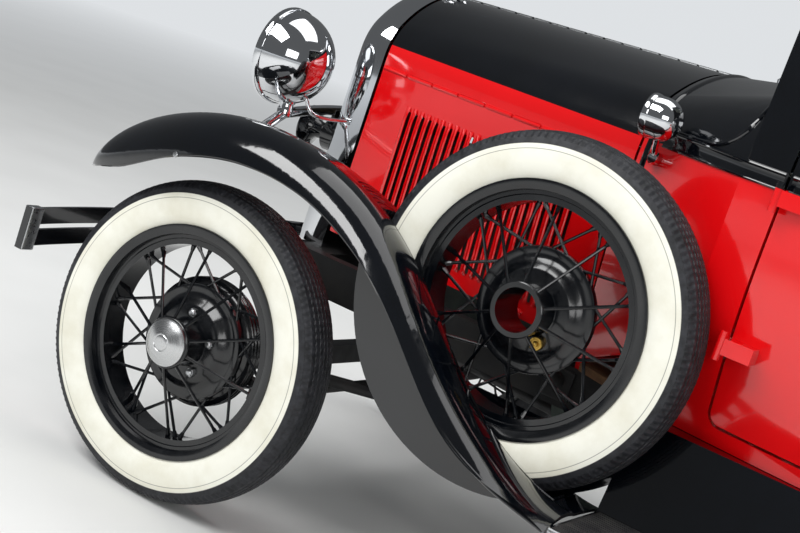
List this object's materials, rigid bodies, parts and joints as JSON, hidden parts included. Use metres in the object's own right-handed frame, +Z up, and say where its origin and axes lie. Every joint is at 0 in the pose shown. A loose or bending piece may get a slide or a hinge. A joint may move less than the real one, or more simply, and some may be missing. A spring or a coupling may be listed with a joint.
{
  "type": "vintage two-door sedan",
  "caption": "Vintage two-door sedan with red sides, black fenders, wire wheels, white sidewall tyres and spares in the front fenders.",
  "frame": {"origin": "on the ground, at the middle of the car's overall box", "axes": "+X forward, +Y to the car's left, +Z up"},
  "size_m": [4.139, 1.7012, 1.788],
  "materials": {
    "paint_red": "gloss",
    "paint_black": "gloss",
    "chrome": "polished",
    "steel": "satin",
    "iron": "matte",
    "tyre": "matte",
    "glass": "clear",
    "leather": "matte",
    "floor_wood": "matte",
    "wheel_plastic": "gloss"
  },
  "bodies": {
    "car": {"frame_rails": "iron", "engine_block": "iron", "exhaust": "iron", "front_axle": "iron", "front_spring": "iron", "rear_axle": "iron", "rear_spring": "iron", "radiator_shell": "chrome", "radiator_core": "paint_black", "hood_hinge": "steel", "lamp_bowls": "chrome", "lamp_lenses": "glass", "lamp_bar": "chrome", "cowl_lamps": "chrome", "cowl": "paint_red", "body_tub": "paint_red", "roof": "paint_black", "floor": "floor_wood", "windshield_frame": "paint_black", "fixed_glass": "glass", "front_seats": "leather", "rear_seat": "leather", "steering_column": "paint_black", "front_fender_left": "paint_black", "front_fender_right": "paint_black", "rear_fenders": "paint_black", "running_boards": "paint_black", "front_bumper": "paint_black", "rear_bumper": "paint_black", "spare_tyres": "tyre", "spare_wheels": "paint_black", "spare_mounts": "iron", "rear_lamps": "paint_black"},
    "knuckle_left": {"knuckle_left": "iron"},
    "knuckle_right": {"knuckle_right": "iron"},
    "tie_rod": {"tie_rod": "iron"},
    "steering_wheel": {"steering_wheel": "wheel_plastic"},
    "door_left": {"door_left": "paint_red", "door_glass_left": "glass"},
    "door_right": {"door_right": "paint_red", "door_glass_right": "glass"},
    "hood_top_left": {"hood_top_left": "paint_black"},
    "hood_top_right": {"hood_top_right": "paint_black"},
    "hood_side_left": {"hood_side_left": "paint_red"},
    "hood_side_right": {"hood_side_right": "paint_red"},
    "wheel_front_left": {"wheel_front_left": "paint_black", "tyre_front_left": "tyre"},
    "wheel_front_right": {"wheel_front_right": "paint_black", "tyre_front_right": "tyre"},
    "wheel_rear_left": {"wheel_rear_left": "paint_black", "tyre_rear_left": "tyre"},
    "wheel_rear_right": {"wheel_rear_right": "paint_black", "tyre_rear_right": "tyre"}
  },
  "joints": [
    {"name": "steer_left", "type": "hinge", "parent": "car", "child": "knuckle_left", "pos_m": [1.5295, 0.618, 0.362], "axis": [0, 0, 1], "range_deg": [-32, 32]},
    {"name": "steer_right", "type": "hinge", "parent": "car", "child": "knuckle_right", "pos_m": [1.5295, -0.618, 0.362], "axis": [0, 0, 1], "range_deg": [-32, 32]},
    {"name": "tie_rod_pivot", "type": "hinge", "parent": "knuckle_left", "child": "tie_rod", "pos_m": [1.3795, 0.618, 0.317], "axis": [0, 0, 1], "range_deg": [-32, 32]},
    {"name": "steering_wheel_turn", "type": "hinge", "parent": "car", "child": "steering_wheel", "pos_m": [0.1395, 0.33, 1.11], "axis": [-0.8357, 0, 0.5492], "range_deg": [-320, 320]},
    {"name": "door_left_hinge", "type": "hinge", "parent": "car", "child": "door_left", "pos_m": [0.4275, 0.617, 0.95], "axis": [0, 0, -1], "range_deg": [0, 65]},
    {"name": "door_right_hinge", "type": "hinge", "parent": "car", "child": "door_right", "pos_m": [0.4275, -0.617, 0.95], "axis": [0, 0, 1], "range_deg": [0, 65]},
    {"name": "hood_left_hinge", "type": "hinge", "parent": "car", "child": "hood_top_left", "pos_m": [1.5335, 0, 1.28], "axis": [0.9995, 0, -0.0321], "range_deg": [0, 60]},
    {"name": "hood_right_hinge", "type": "hinge", "parent": "car", "child": "hood_top_right", "pos_m": [1.5335, 0, 1.28], "axis": [-0.9995, 0, 0.0321], "range_deg": [0, 60]},
    {"name": "hood_left_side_hinge", "type": "hinge", "parent": "hood_top_left", "child": "hood_side_left", "pos_m": [1.5335, 0.284, 1.065], "axis": [0.9795, -0.2017, 0], "range_deg": [-60, 0]},
    {"name": "hood_right_side_hinge", "type": "hinge", "parent": "hood_top_right", "child": "hood_side_right", "pos_m": [1.5335, -0.284, 1.065], "axis": [-0.9795, -0.2017, 0], "range_deg": [-60, 0]},
    {"name": "spin_front_left", "type": "hinge", "parent": "knuckle_left", "child": "wheel_front_left", "pos_m": [1.5295, 0.711, 0.362], "axis": [0, 1, 0], "continuous": true},
    {"name": "spin_front_right", "type": "hinge", "parent": "knuckle_right", "child": "wheel_front_right", "pos_m": [1.5295, -0.711, 0.362], "axis": [0, 1, 0], "continuous": true},
    {"name": "spin_rear_left", "type": "hinge", "parent": "car", "child": "wheel_rear_left", "pos_m": [-1.0995, 0.711, 0.362], "axis": [0, 1, 0], "continuous": true},
    {"name": "spin_rear_right", "type": "hinge", "parent": "car", "child": "wheel_rear_right", "pos_m": [-1.0995, -0.711, 0.362], "axis": [0, 1, 0], "continuous": true}
  ],
  "couplings": [
    {"joint": "steer_right", "follows": "steer_left", "ratio": 1},
    {"joint": "tie_rod_pivot", "follows": "steer_left", "ratio": -1},
    {"joint": "steering_wheel_turn", "follows": "steer_left", "ratio": 10},
    {"joint": "hood_left_side_hinge", "follows": "hood_left_hinge", "ratio": -1},
    {"joint": "hood_right_side_hinge", "follows": "hood_right_hinge", "ratio": -1}
  ]
}
